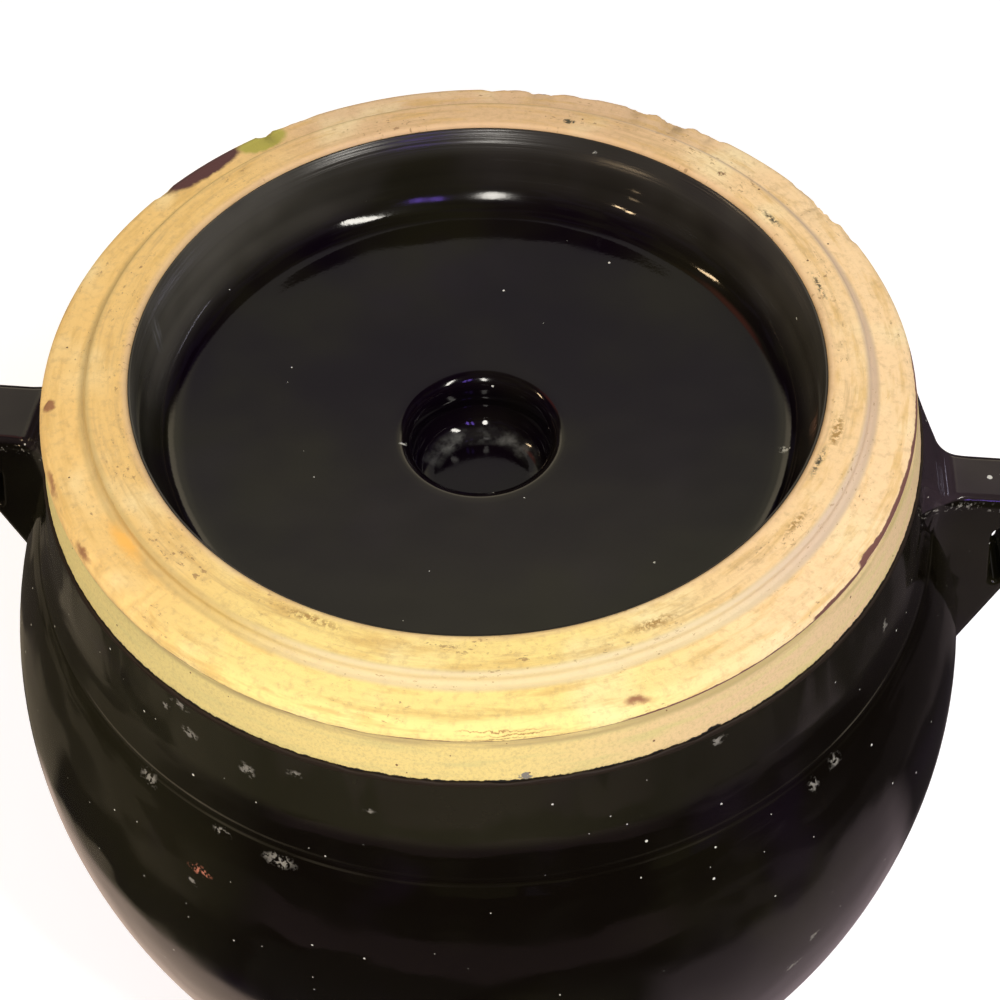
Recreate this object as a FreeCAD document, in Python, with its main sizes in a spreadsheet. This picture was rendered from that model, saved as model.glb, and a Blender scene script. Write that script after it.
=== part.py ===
import FreeCAD, Part
import math
import os
import Sketcher

# A lidded stoneware bean pot, in millimetres. The pot stands on its foot ring at z = 0, with its
# axis on Z and its two ear handles along X. The lid lies upside down on the rim, so that its
# dished underside and the hollow of its thrown knob face up.

DIMENSIONS = [
    ("rim_height", 178.0, "height of the flat rim above the table"),
    ("rim_radius", 88.0, "outer radius of the rim, and of the lid's flange"),
    ("rim_round", 1.0, "rounding of the rim's outer corner"),
    ("mouth_gap", 1.2, "play of the lid's locating ring in the mouth"),
    ("mouth_land", 8.0, "depth of the upright part of the mouth"),
    ("bare_band", 9.4, "height of unglazed clay under the rim"),
    ("band_swell", 2.2, "how much wider than the rim the pot is at the glaze line"),
    ("neck_swell", 5.2, "how much wider it is where the neck starts to flare"),
    ("neck_drop", 24.5, "depth of that place under the rim"),
    ("crease_swell", 8.6, "how much wider it is at the foot of the neck"),
    ("crease_drop", 34.0, "depth of the neck's foot under the rim"),
    ("crease_depth", 0.4, "how far the turned groove cuts in"),
    ("crease_width", 0.8, "half the height of the turned groove"),
    ("shoulder_step", 1.2, "how far the belly stands out past the neck's foot"),
    ("belly_swell", 24.3, "how much wider the belly is than the rim"),
    ("belly_height", 84.6, "height of the widest place"),
    ("tuck_inset", 6.7, "how much narrower the pot is where it turns in to the foot"),
    ("tuck_height", 35.0, "height of that place"),
    ("foot_inset", 8.0, "how much smaller the foot ring's radius is than the rim's"),
    ("foot_flare", 3.0, "how much the wiped foot widens upwards"),
    ("foot_band", 6.0, "height of bare clay wiped at the foot"),
    ("foot_width", 9.0, "width of the ring that the pot stands on"),
    ("foot_recess", 1.5, "hollow of the base inside the ring"),
    ("wall", 7.0, "wall of the pot"),
    ("floor_height", 9.0, "height of the inside floor"),
    ("floor_inset", 14.0, "how much smaller the flat inside floor is than the foot ring"),
    ("coat", 0.5, "thickness of the fired glaze"),
    ("ledge_width", 9.6, "width of the lid's flange outside its locating ring"),
    ("locator_drop", 2.3, "how far the lid's locating ring stands past its flange"),
    ("flange_thickness", 3.6, "thickness of the lid's flange"),
    ("flange_round", 2.8, "rounding of the flange's bearing side"),
    ("flange_lip_round", 0.5, "rounding of the flange's upper side"),
    ("ring_width", 8.4, "width of the locating ring, up to the bare edge of the dish"),
    ("dish_round", 1.0, "rounding of that edge"),
    ("dish_fillet", 8.9, "height of the inside rounding between the dish's wall and its ceiling"),
    ("dish_fillet_width", 7.4, "width of that rounding"),
    ("dish_depth", 27.4, "depth of the dish in the clay, at the throat"),
    ("lid_wall", 6.0, "wall of the lid's dome at the flange"),
    ("dome_taper", 1.9, "how much the dome narrows upwards"),
    ("dome_fillet", 2.5, "outside rounding between the flange and the dome"),
    ("dome_shoulder", 11.3, "height of the rounded shoulder of the dome"),
    ("dome_shoulder_width", 14.0, "width of that shoulder, up to the shallow top"),
    ("dome_rise", 5.0, "how much the shallow top rises from its shoulder to the knob's root"),
    ("dome_curve", 350.0, "radius of the shallow curve of that top, outside and in the dish"),
    ("lid_thickness", 5.0, "thickness of the dome's top, and radius of the throat's flare"),
    ("lid_shift", 0.6, "how far off centre the lid lies on the pot, towards -X"),
    ("throat_radius", 15.7, "radius of the opening into the knob"),
    ("hollow_undercut", 1.1, "how much the knob's hollow widens behind its throat"),
    ("hollow_drop", 4.0, "depth of the widest place of the hollow"),
    ("hollow_round", 6.5, "rounding at the bottom of the hollow"),
    ("luting_radius", 22.4, "radius of the clay smeared round the knob's root"),
    ("luting_round", 2.0, "rounding of that clay"),
    ("knob_radius", 21.4, "widest radius of the knob"),
    ("knob_waist", 5.1, "height of the knob's flank above its luted root"),
    ("knob_round", 8.9, "rounding of the knob's end"),
    ("ear_projection", 33.0, "how far both handles stand out past the rim"),
    ("ear_drop", 25.0, "depth of the handles' flat top under the rim"),
    ("ear_corner", 9.0, "rounding of their upper outer corner"),
    ("ear_root_out", 1.4, "how far past the rim's radius the root's slope ends, inside the neck"),
    ("ear_root_drop", 10.0, "depth of that place under the rim"),
    ("ear_smear_out", 8.5, "how far out the root's slope turns into its hollow"),
    ("ear_smear_drop", 21.9, "depth of that place"),
    ("ear_flat_out", 13.3, "how far out the handle's flat top starts"),
    ("ear_smear_round", 5.3, "radius of the hollow between root and top"),
    ("flare_out", 16.0, "how far out the sides start to flare to the pot"),
    ("flare_root_out", 0.9, "how far out the flare ends, inside the wall"),
    ("flare", 10.4, "how far each side flares out"),
    ("ear_edge_round", 2.3, "rounding of the handles' edges"),
    ("hole_drop", 34.2, "depth of the finger hole's top under the rim"),
    ("hole_round", 2.4, "rounding of its upper corners"),
    ("hole_tip_round", 1.6, "rounding of its lower corner"),
    ("hole_edge_round", 1.2, "rounding of its edges"),
    ("right_width", 13.5, "width of the right handle"),
    ("right_elbow_inset", 3.7, "how far in the right handle's elbow lies from its reach"),
    ("right_elbow_drop", 58.0, "depth of that elbow under the rim"),
    ("right_foot_inset", 1.9, "how far inside the belly's radius its lower end lies"),
    ("right_foot_drop", 84.5, "depth of that end under the rim"),
    ("right_strap", 5.4, "thickness of the strap outside the right finger hole"),
    ("right_hole_width", 7.1, "width of that hole at its top"),
    ("right_hole_drop", 53.2, "depth of that hole's lower end under the rim"),
    ("left_width", 18.0, "width of the left handle"),
    ("left_elbow_inset", 7.0, "how far in the left handle's elbow lies from its reach"),
    ("left_elbow_drop", 50.0, "depth of that elbow under the rim"),
    ("left_foot_inset", 4.8, "how far inside the belly's radius its lower end lies"),
    ("left_foot_drop", 73.0, "depth of that end under the rim"),
    ("left_strap", 7.2, "thickness of the strap outside the left finger hole"),
    ("left_hole_width", 5.3, "width of that hole at its top"),
    ("left_hole_drop", 47.5, "depth of that hole's lower end under the rim"),
]

LINE = "line"
TANGENT = "tangent"


class Length:
    """A number of millimetres together with the sheet formula that gives it."""

    def __init__(self, number, formula):
        self.number = number
        self.formula = formula

    def __add__(self, other):
        return Length(self.number + other.number, f"({self.formula} + {other.formula})")

    def __sub__(self, other):
        return Length(self.number - other.number, f"({self.formula} - {other.formula})")

    def __mul__(self, factor):
        return Length(self.number * factor, f"({self.formula} * {factor})")


NONE = Length(0.0, "0")


class Sizes:
    """The sheet of driving dimensions, each one also readable here as a Length."""

    def __init__(self, document):
        sheet = document.addObject("Spreadsheet::Sheet", "Sizes")
        for row, (alias, number, note) in enumerate(DIMENSIONS, start=1):
            sheet.set(f"A{row}", alias)
            sheet.set(f"B{row}", str(number))
            sheet.setAlias(f"B{row}", alias)
            sheet.set(f"C{row}", note)
            setattr(self, alias, Length(number, "Sizes." + alias))
        document.recompute()


# Sketches


def flat(corner):
    return FreeCAD.Vector(corner[0].number, corner[1].number, 0)


def centre_at_height(start, end, height):
    """Where an arc's centre lies at a given height, as far from its start as from its end."""
    ends = [point.x**2 + (point.y - height) ** 2 for point in (start, end)]
    return FreeCAD.Vector((ends[1] - ends[0]) / (2 * (end.x - start.x)), height, 0)


def centre_by_direction(start, end, direction):
    """Where the centre lies of an arc that leaves its start in a given direction."""
    normal = FreeCAD.Vector(-direction.y, direction.x, 0)
    chord = end - start
    return start + normal * (chord.Length**2 / (2 * normal.dot(chord)))


def arc_about(centre, start, end):
    """The shorter arc from start to end about a centre, and its direction at the end."""
    outwards = (start + end) / 2 - centre
    outwards.normalize()
    middle = centre + outwards * (start - centre).Length
    across = end - centre
    across.normalize()
    heading = FreeCAD.Vector(-across.y, across.x, 0)
    if heading.dot(end - start) < 0:
        heading = heading * -1
    return Part.Arc(start, middle, end), heading


class Section:
    """A sketch on one of a body's own planes, with every point held by sheet formulas."""

    def __init__(self, body, name, plane="XZ_Plane"):
        self.sketch = body.newObject("Sketcher::SketchObject", name)
        support = [item for item in body.Origin.OriginFeatures if item.Role == plane][0]
        self.sketch.AttachmentSupport = [(support, "")]
        self.sketch.MapMode = "FlatFace"
        self.sketch.Visibility = False

    def constrain(self, *terms):
        return self.sketch.addConstraint(Sketcher.Constraint(*terms))

    def drive(self, length, *terms):
        """Add a dimension and bind it to its formula."""
        index = self.constrain(*terms, length.number)
        self.sketch.setExpression(f"Constraints[{index}]", length.formula)

    def hold_height(self, point, height):
        if height.formula == NONE.formula:
            self.constrain("PointOnObject", *point, -1)
        else:
            self.drive(height, "DistanceY", -1, 1, *point)

    def hold(self, point, corner):
        """Hold a point at a corner's two lengths."""
        if corner[0].formula == NONE.formula:
            self.constrain("PointOnObject", *point, -2)
        else:
            self.drive(corner[0], "DistanceX", -1, 1, *point)
        self.hold_height(point, corner[1])

    def piece(self, start_corner, end_corner, heading):
        """Add the line or arc that leaves a corner. Returns its ends and its last heading."""
        start, end = flat(start_corner), flat(end_corner)
        link = start_corner[2]
        if link == LINE:
            curve, heading = Part.LineSegment(start, end), (end - start).normalize()
        elif link == TANGENT:
            curve, heading = arc_about(centre_by_direction(start, end, heading), start, end)
        else:
            curve, heading = arc_about(centre_at_height(start, end, link.number), start, end)
        index = self.sketch.addGeometry(curve, False)
        first, last = 1, 2
        if (self.sketch.getPoint(index, 1) - start).Length > 1e-6:
            first, last = 2, 1
        if isinstance(link, Length):
            self.hold_height((index, 3), link)
        return (index, first), (index, last), heading

    def chain(self, corners, closed=False, after=None):
        """Join corners in order, each (across, up, link to the next). Returns the two ends."""
        targets = corners[1:] + corners[:1] if closed else corners[1:]
        heading = None
        opening = before = after
        for corner, target in zip(corners, targets):
            first, last, heading = self.piece(corner, target, heading)
            if before is None:
                opening = first
            elif corner[2] == TANGENT:
                self.constrain("Tangent", *before, *first)
            else:
                self.constrain("Coincident", *before, *first)
            if before is None or before != after:
                self.hold(first, corner)
            before = last
        if closed:
            self.constrain("Coincident", *before, *opening)
        else:
            self.hold(before, corners[-1])
        return opening, before

    def bridge(self, first, second):
        """Close a gap between two chains with a straight line."""
        ends = [self.sketch.getPoint(*point) for point in (first, second)]
        index = self.sketch.addGeometry(Part.LineSegment(*ends), False)
        self.constrain("Coincident", index, 1, *first)
        self.constrain("Coincident", index, 2, *second)

    def rounded(self, circles):
        """The tight outline round circles (across, up, radius), taken anticlockwise."""
        centres = [flat(circle) for circle in circles]
        turns = []
        for index, (circle, centre) in enumerate(zip(circles, centres)):
            following = (index + 1) % len(circles)
            way = centres[following] - centre
            lean = (circle[2].number - circles[following][2].number) / way.Length
            turns.append(math.atan2(way.y, way.x) - math.acos(lean))
        arcs = []
        for index, (circle, centre) in enumerate(zip(circles, centres)):
            ring = Part.Circle(centre, FreeCAD.Vector(0, 0, 1), circle[2].number)
            arc = Part.ArcOfCircle(ring, turns[index - 1], turns[index])
            arcs.append(self.sketch.addGeometry(arc, False))
            self.hold((arcs[-1], 3), circle)
            self.drive(circle[2], "Radius", arcs[-1])
        for arc, following in zip(arcs, arcs[1:] + arcs[:1]):
            ends = [self.sketch.getPoint(arc, 2), self.sketch.getPoint(following, 1)]
            line = self.sketch.addGeometry(Part.LineSegment(*ends), False)
            self.constrain("Tangent", line, 1, arc, 2)
            self.constrain("Tangent", line, 2, following, 1)


def new_body(document, name):
    body = document.addObject("PartDesign::Body", name)
    body.Label = name
    return body


def turn(body, section, kind="PartDesign::Revolution"):
    """Revolve a section a full turn about the body's own upright axis."""
    feature = body.newObject(kind, section.sketch.Name + "_turned")
    feature.Profile = section.sketch
    feature.ReferenceAxis = (section.sketch, ["V_Axis"])
    feature.Angle = 360
    body.Document.recompute()
    return feature


# The pot


def crease_radius(size):
    return size.rim_radius + size.crease_swell


def belly_radius(size):
    return size.rim_radius + size.belly_swell


def foot_radius(size):
    return size.rim_radius - size.foot_inset


def locator_radius(size):
    """The lid's locating ring, which drops into the mouth when the lid is the right way up."""
    return size.rim_radius - size.ledge_width


def mouth_radius(size):
    return locator_radius(size) + size.mouth_gap


def pot_outside(size, skin):
    """The outer outline from the glaze line down to the wiped foot, a skin's thickness out."""
    crease = size.rim_height - size.crease_drop
    return [
        (size.rim_radius + size.band_swell + skin, size.rim_height - size.bare_band, LINE),
        (size.rim_radius + size.neck_swell + skin, size.rim_height - size.neck_drop, TANGENT),
        (crease_radius(size) + skin, crease, LINE),
        (crease_radius(size) - size.crease_depth + skin, crease - size.crease_width, LINE),
        (
            crease_radius(size) + size.shoulder_step + skin,
            crease - size.crease_width * 2,
            size.belly_height,
        ),
        (belly_radius(size) + skin, size.belly_height, size.belly_height),
        (belly_radius(size) - size.tuck_inset + skin, size.tuck_height, TANGENT),
        (foot_radius(size) + size.foot_flare + skin, size.foot_band),
    ]


def pot_inside(size, skin):
    """The inner outline from the foot of the mouth's upright land down to the floor."""
    crease = size.rim_height - size.crease_drop
    neck_wall = size.rim_radius + size.neck_swell - size.wall
    belly_wall = belly_radius(size) - size.wall
    return [
        (mouth_radius(size) - skin, size.rim_height - size.mouth_land, LINE),
        (neck_wall - skin, size.rim_height - size.neck_drop, LINE),
        (crease_radius(size) - size.wall - skin, crease, size.belly_height),
        (belly_wall - skin, size.belly_height, size.belly_height),
        (belly_wall - size.tuck_inset - skin, size.tuck_height, TANGENT),
        (foot_radius(size) - size.floor_inset, size.floor_height + skin, LINE),
        (NONE, size.floor_height + skin),
    ]


def make_pot_body(document, size):
    """The thrown wall, turned as one profile with its rim, groove, belly and foot ring."""
    body = new_body(document, "pot_body")
    section = Section(body, "pot_profile")
    foot_inner = foot_radius(size) - size.foot_width
    outside = pot_outside(size, NONE)
    outside[-1] = outside[-1] + (LINE,)
    rim_and_outside = [
        (mouth_radius(size), size.rim_height, LINE),
        (size.rim_radius - size.rim_round, size.rim_height, size.rim_height - size.rim_round),
        (size.rim_radius, size.rim_height - size.rim_round, LINE),
    ] + outside + [
        (foot_radius(size), NONE, LINE),
        (foot_inner, NONE, LINE),
        (foot_inner, size.foot_recess, LINE),
        (NONE, size.foot_recess),
    ]
    top, bottom = section.chain(rim_and_outside)
    mouth = [(mouth_radius(size), size.rim_height, LINE)]
    floor_end = section.chain(mouth + pot_inside(size, NONE), after=top)[1]
    section.bridge(bottom, floor_end)
    turn(body, section)
    return body


def make_coat(document, name, near_clay, in_air):
    """A fired glaze coat between the clay's outline and the same outline a skin away."""
    body = new_body(document, name)
    section = Section(body, name + "_profile")
    inner = section.chain(near_clay)
    outer = section.chain(in_air)
    section.bridge(inner[0], outer[0])
    section.bridge(inner[1], outer[1])
    turn(body, section)
    return body


# The two ear handles


def own(size, side, name):
    """A size that the right and the left handle each have for themselves."""
    return getattr(size, f"{side}_{name}")


def ear_reach(size):
    return size.rim_radius + size.ear_projection


def ear_outline(size, side):
    """The handle seen from the side, from its root on the neck to its lower end."""
    rim, out = size.rim_height, size.rim_radius
    top = rim - size.ear_drop
    corner = top - size.ear_corner
    lower_end = rim - own(size, side, "foot_drop")
    hidden = out + size.ear_root_out - size.wall
    elbow = ear_reach(size) - own(size, side, "elbow_inset")
    return [
        (hidden, rim - size.ear_root_drop, LINE),
        (out + size.ear_root_out, rim - size.ear_root_drop, LINE),
        (out + size.ear_smear_out, rim - size.ear_smear_drop, top + size.ear_smear_round),
        (out + size.ear_flat_out, top, LINE),
        (ear_reach(size) - size.ear_corner, top, corner),
        (ear_reach(size), corner, corner),
        (elbow, rim - own(size, side, "elbow_drop"), LINE),
        (belly_radius(size) - own(size, side, "foot_inset"), lower_end, LINE),
        (hidden, lower_end, LINE),
    ]


def cut_flares(body, size, width):
    """Narrow the slab beside the grip, so that it widens again in a curve towards the pot."""
    section = Section(body, body.Name + "_plan", "XY_Plane")
    half = width * 0.5
    beyond = ear_reach(size) + size.wall
    root = size.rim_radius + size.flare_root_out
    outside = half + size.flare + size.wall
    section.chain(
        [
            (beyond, half, LINE),
            (size.rim_radius + size.flare_out, half, TANGENT),
            (root, half + size.flare, LINE),
            (root, outside, LINE),
            (beyond, outside, LINE),
        ],
        closed=True,
    )
    pocket = body.newObject("PartDesign::Pocket", body.Name + "_side")
    pocket.Profile = section.sketch
    pocket.Type = "ThroughAll"
    pocket.Midplane = True
    body.Document.recompute()
    mirrored = body.newObject("PartDesign::Mirrored", body.Name + "_sides")
    mirrored.Originals = [pocket]
    middle = [item for item in body.Origin.OriginFeatures if item.Role == "XZ_Plane"][0]
    mirrored.MirrorPlane = (middle, [""])
    body.Tip = mirrored
    body.Document.recompute()
    return mirrored


def cut_hole(body, size, side):
    """The finger hole, a tall rounded triangle that narrows downwards."""
    section = Section(body, body.Name + "_hole_profile")
    upper = size.rim_height - size.hole_drop - size.hole_round
    lower = size.rim_height - own(size, side, "hole_drop") + size.hole_tip_round
    outer_side = ear_reach(size) - own(size, side, "strap")
    inner_side = outer_side - own(size, side, "hole_width")
    section.rounded(
        [
            (inner_side + size.hole_round, upper, size.hole_round),
            (outer_side - size.hole_tip_round, lower, size.hole_tip_round),
            (outer_side - size.hole_round, upper, size.hole_round),
        ]
    )
    pocket = body.newObject("PartDesign::Pocket", body.Name + "_hole")
    pocket.Profile = section.sketch
    pocket.Type = "ThroughAll"
    pocket.Midplane = True
    body.Document.recompute()
    return pocket


def grip_edges(shape, size, half):
    """The edges round the handle's two sides, apart from those inside the pot's wall."""
    lowest = shape.BoundBox.ZMin + 0.1
    root = size.rim_radius.number + size.ear_root_out.number - 0.1
    names = []
    for number, edge in enumerate(shape.Edges, start=1):
        box = edge.BoundBox
        if abs(box.Center.y) > half - 0.01 and box.XLength > 0.01:
            if box.XMin > root and box.ZMax > lowest:
                names.append(f"Edge{number}")
    return names


def hole_edges(shape, size, side, half):
    """The edges where the finger hole opens on the handle's two sides."""
    outer_side = ear_reach(size) - own(size, side, "strap")
    zone = FreeCAD.BoundBox(
        (outer_side - own(size, side, "hole_width")).number - 1,
        -2 * half,
        (size.rim_height - own(size, side, "hole_drop")).number - 1,
        outer_side.number + 1,
        2 * half,
        (size.rim_height - size.hole_drop).number + 1,
    )
    names = []
    for number, edge in enumerate(shape.Edges, start=1):
        box = edge.BoundBox
        if zone.isInside(box.Center) and box.YLength < 0.01 and abs(box.YMin) > half - 0.1:
            names.append(f"Edge{number}")
    return names


def round_edges(body, base, edges, radius):
    fillet = body.newObject("PartDesign::Fillet", base.Name + "_rounded")
    fillet.Base = (base, edges)
    fillet.setExpression("Radius", radius.formula)
    body.Document.recompute()
    return fillet


def make_handle(document, size, side, azimuth):
    """A pulled ear: slab, flared root, finger hole and soft edges, trimmed to the pot's wall."""
    name = "handle_" + side
    width = own(size, side, "width")
    body = new_body(document, name)
    section = Section(body, name + "_outline")
    section.chain(ear_outline(size, side), closed=True)
    pad = body.newObject("PartDesign::Pad", name + "_slab")
    pad.Profile = section.sketch
    pad.Midplane = True
    pad.setExpression("Length", (width + size.flare * 2).formula)
    document.recompute()
    cut_flares(body, size, width)
    half = width.number / 2
    narrowed = body.Tip
    edges = grip_edges(narrowed.Shape, size, half)
    round_edges(body, narrowed, edges, size.ear_edge_round)
    pierced = cut_hole(body, size, side)
    edges = hole_edges(pierced.Shape, size, side, half)
    round_edges(body, pierced, edges, size.hole_edge_round)
    wall = Section(body, name + "_seat")
    seat = pot_outside(size, NONE)
    seat[-1] = seat[-1] + (LINE,)
    seat += [(NONE, size.foot_band, LINE), (NONE, size.rim_height - size.bare_band, LINE)]
    wall.chain(seat, closed=True)
    turn(body, wall, "PartDesign::Groove")
    body.Placement = FreeCAD.Placement(
        FreeCAD.Vector(), FreeCAD.Rotation(FreeCAD.Vector(0, 0, 1), azimuth)
    )
    return body


def make_outside_glaze(document, size, handles):
    """The outside coat, open where the handles were luted to the bare wall."""
    blank = make_coat(document, "glaze_blank", pot_outside(size, NONE), pot_outside(size, size.coat))
    roots = document.addObject("Part::Fuse", "handle_roots")
    roots.Base, roots.Tool = handles
    coat = document.addObject("Part::Cut", "glaze_outside")
    coat.Label = "glaze_outside"
    coat.Base = blank
    coat.Tool = roots
    document.recompute()
    return coat


# The lid, drawn right way up from the foot of its locating ring and then turned over


def dish_outline(size, skin):
    """The underside from the locating ring's inner edge to the throat of the knob."""
    ceiling = size.dish_depth - skin
    ceiling_edge = ceiling - size.dome_rise
    wall_end = size.dish_depth - size.dome_rise - size.dish_fillet
    return [
        (dish_radius(size) - skin, size.dish_round, LINE),
        (dish_radius(size) - skin, wall_end, wall_end),
        (
            dish_radius(size) - size.dish_fillet_width,
            ceiling_edge,
            size.dish_depth - size.dome_curve,
        ),
        (size.throat_radius + size.lid_thickness, ceiling, lid_top(size)),
        (size.throat_radius - skin, lid_top(size)),
    ]


def hollow_outline(size, skin):
    """The inside of the knob from its throat to the middle of its floor."""
    widest = size.throat_radius + size.hollow_undercut
    widest_height = lid_top(size) + size.hollow_drop
    floor = widest_height + size.hollow_round - skin
    return [
        (size.throat_radius - skin, lid_top(size), LINE),
        (widest - skin, widest_height, widest_height),
        (widest - size.hollow_round, floor, LINE),
        (NONE, floor),
    ]


def dome_outline(size, skin):
    """The upper side from above the flange's fillet to the clay round the knob's root."""
    wall_foot = flange_top(size) + size.dome_fillet
    top_edge = lid_top(size) - size.dome_rise
    shoulder = top_edge - size.dome_shoulder
    return [
        (dome_radius(size) + skin, wall_foot, LINE),
        (dome_radius(size) - size.dome_taper + skin, shoulder, TANGENT),
        (
            dome_radius(size) - size.dome_shoulder_width,
            top_edge + skin,
            lid_top(size) - size.dome_curve,
        ),
        (size.luting_radius, lid_top(size) + skin),
    ]


def knob_outline(size, skin):
    """The outside of the knob from its luted root to the middle of its end."""
    waist = lid_top(size) + size.luting_round
    widest = waist + size.knob_waist
    waist_radius = size.luting_radius - size.luting_round
    return [
        (size.luting_radius, lid_top(size) + skin, waist),
        (waist_radius + skin, waist, widest),
        (size.knob_radius + skin, widest, widest),
        (size.knob_radius - size.knob_round, widest + size.knob_round + skin, LINE),
        (NONE, widest + size.knob_round + skin),
    ]


def flange_top(size):
    return size.locator_drop + size.flange_thickness


def lid_top(size):
    return size.dish_depth + size.lid_thickness


def dish_radius(size):
    return locator_radius(size) - size.ring_width


def dome_radius(size):
    return dish_radius(size) + size.lid_wall


def turn_over(body, size):
    """Lay the lid upside down on the rim."""
    body.Placement = FreeCAD.Placement(
        FreeCAD.Vector(), FreeCAD.Rotation(FreeCAD.Vector(1, 0, 0), 180)
    )
    body.setExpression("Placement.Base.x", (NONE - size.lid_shift).formula)
    body.setExpression("Placement.Base.z", (size.rim_height + flange_top(size)).formula)
    body.Document.recompute()


def make_lid(document, size):
    """Flange, locating ring and dished dome, with the throat into the knob."""
    body = new_body(document, "lid")
    section = Section(body, "lid_profile")
    step = size.locator_drop
    top = flange_top(size)
    flange = [
        (dish_radius(size), size.dish_round, size.dish_round),
        (dish_radius(size) + size.dish_round, NONE, LINE),
        (locator_radius(size), NONE, LINE),
        (locator_radius(size), step, LINE),
        (size.rim_radius - size.flange_round, step, step + size.flange_round),
        (size.rim_radius, step + size.flange_round, LINE),
        (size.rim_radius, top - size.flange_lip_round, top - size.flange_lip_round),
        (size.rim_radius - size.flange_lip_round, top, LINE),
        (dome_radius(size) + size.dome_fillet, top, top + size.dome_fillet),
    ]
    dome = dome_outline(size, NONE)
    dome[-1] = dome[-1] + (LINE,)
    throat = [(size.throat_radius, lid_top(size))]
    edge, outer_end = section.chain(flange + dome + throat)
    dish = dish_outline(size, NONE)
    section.chain(dish, after=edge)
    turn(body, section)
    turn_over(body, size)
    return body


def make_knob(document, size):
    """The hollow knob, thrown as a cup and luted over the throat."""
    body = new_body(document, "lid_knob")
    section = Section(body, "knob_profile")
    inside = section.chain(hollow_outline(size, NONE))
    outside = section.chain(knob_outline(size, NONE))
    section.bridge(inside[0], outside[0])
    section.bridge(inside[1], outside[1])
    turn(body, section)
    turn_over(body, size)
    return body


def make_lid_coats(document, size):
    """One coat lines the dish and the knob's hollow, the other covers the dome and the knob."""
    lining = make_coat(
        document,
        "lid_glaze_dish",
        dish_outline(size, NONE)[:-1] + hollow_outline(size, NONE),
        dish_outline(size, size.coat)[:-1] + hollow_outline(size, size.coat),
    )
    cover = make_coat(
        document,
        "lid_glaze_top",
        dome_outline(size, NONE)[:-1] + knob_outline(size, NONE),
        dome_outline(size, size.coat)[:-1] + knob_outline(size, size.coat),
    )
    for coat in (lining, cover):
        turn_over(coat, size)
    return [lining, cover]


def build():
    document = FreeCAD.newDocument("bean_pot")
    size = Sizes(document)
    handles = [make_handle(document, size, "right", 0), make_handle(document, size, "left", 180)]
    parts = [
        make_pot_body(document, size),
        make_outside_glaze(document, size, handles),
        make_coat(
            document, "glaze_inside", pot_inside(size, NONE), pot_inside(size, size.coat)
        ),
        make_lid(document, size),
        make_knob(document, size),
    ]
    return document, handles + parts + make_lid_coats(document, size)


def check(document, parts):
    """Stop before anything is written if a feature failed or a sub-part has no sound solid."""
    for item in document.Objects:
        if "Invalid" in item.State or "Error" in item.State:
            raise RuntimeError(f"{item.Label} failed: {item.State}")
    for part in parts:
        if part.Shape.isNull() or not part.Shape.isValid() or len(part.Shape.Solids) != 1:
            raise RuntimeError(f"{part.Label} is not one valid solid")


model, pieces = build()
check(model, pieces)
os.makedirs("parts", exist_ok=True)
for part in pieces:
    part.Shape.exportStep(f"parts/{part.Label}.step")
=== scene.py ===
import bmesh
import bpy
import math
from mathutils import Matrix, Vector, noise


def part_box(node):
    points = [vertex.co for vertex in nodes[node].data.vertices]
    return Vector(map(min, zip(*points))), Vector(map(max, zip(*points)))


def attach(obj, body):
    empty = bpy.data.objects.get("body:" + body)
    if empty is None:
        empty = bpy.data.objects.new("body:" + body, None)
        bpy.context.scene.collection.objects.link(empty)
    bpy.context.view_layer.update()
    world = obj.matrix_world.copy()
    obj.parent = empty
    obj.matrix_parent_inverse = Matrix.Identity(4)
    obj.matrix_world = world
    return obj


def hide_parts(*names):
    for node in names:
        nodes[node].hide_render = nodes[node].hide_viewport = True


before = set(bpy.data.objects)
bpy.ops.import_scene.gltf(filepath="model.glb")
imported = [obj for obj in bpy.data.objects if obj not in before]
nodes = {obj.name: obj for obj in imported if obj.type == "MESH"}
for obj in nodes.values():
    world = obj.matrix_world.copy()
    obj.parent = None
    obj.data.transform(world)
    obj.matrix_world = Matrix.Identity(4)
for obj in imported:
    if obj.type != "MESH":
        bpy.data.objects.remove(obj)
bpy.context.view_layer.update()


# ---------------------------------------------------------------------------------------------
# The pot's own clay: a thrown stoneware wall. Its rim and a band under it were wiped clean of
# glaze before the firing, so that a greenish buff clay shows, finely grained, with a line of
# painted shade just under the lid.

USUAL_RADIUS = 0.08


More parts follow.
